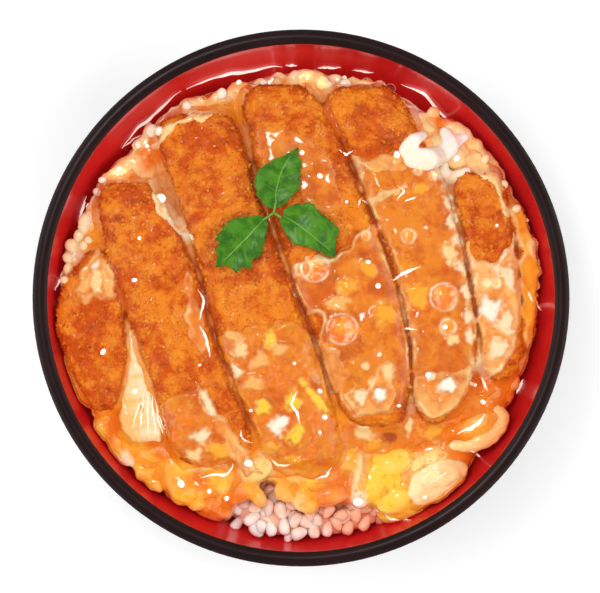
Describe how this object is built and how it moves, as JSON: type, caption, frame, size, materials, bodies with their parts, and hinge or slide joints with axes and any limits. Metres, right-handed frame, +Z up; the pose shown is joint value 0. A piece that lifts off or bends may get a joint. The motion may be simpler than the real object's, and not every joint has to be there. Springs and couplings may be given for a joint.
{
  "type": "katsudon in a lacquer bowl",
  "caption": "Sliced fried pork cutlet with soft-set egg and a mitsuba leaf on rice, in a round black and red lacquer bowl.",
  "frame": {"origin": "centre of the foot's resting face, under the middle of the bowl", "axes": "+Z up out of the bowl; +Y to the far side, the top of the view from above; +X to the right in that view"},
  "size_m": [0.165, 0.165, 0.0861],
  "materials": {
    "bowl": "lacquer, near black outside and on the rim, red inside",
    "rice": "cooked rice, moist, tinted by sauce",
    "egg": "soft-set egg, wet, from cream to deep yellow",
    "crust": "fried breadcrumb crust, soaked in sauce",
    "egg_white": "set egg white, wet, cream",
    "leaf": "fresh herb leaf, slightly glossy"
  },
  "bodies": {
    "root": {"bowl": "bowl", "rice": "rice", "egg": "egg", "cutlet_slice_1": "crust", "cutlet_slice_2": "crust", "cutlet_slice_3": "crust", "cutlet_slice_4": "crust", "cutlet_slice_5": "crust", "cutlet_slice_6": "crust", "cutlet_slice_7": "crust", "egg_white_strip": "egg_white", "egg_white_curd_bent": "egg_white", "egg_white_curd_plump": "egg_white", "mitsuba_leaf": "leaf"}
  },
  "joints": []
}
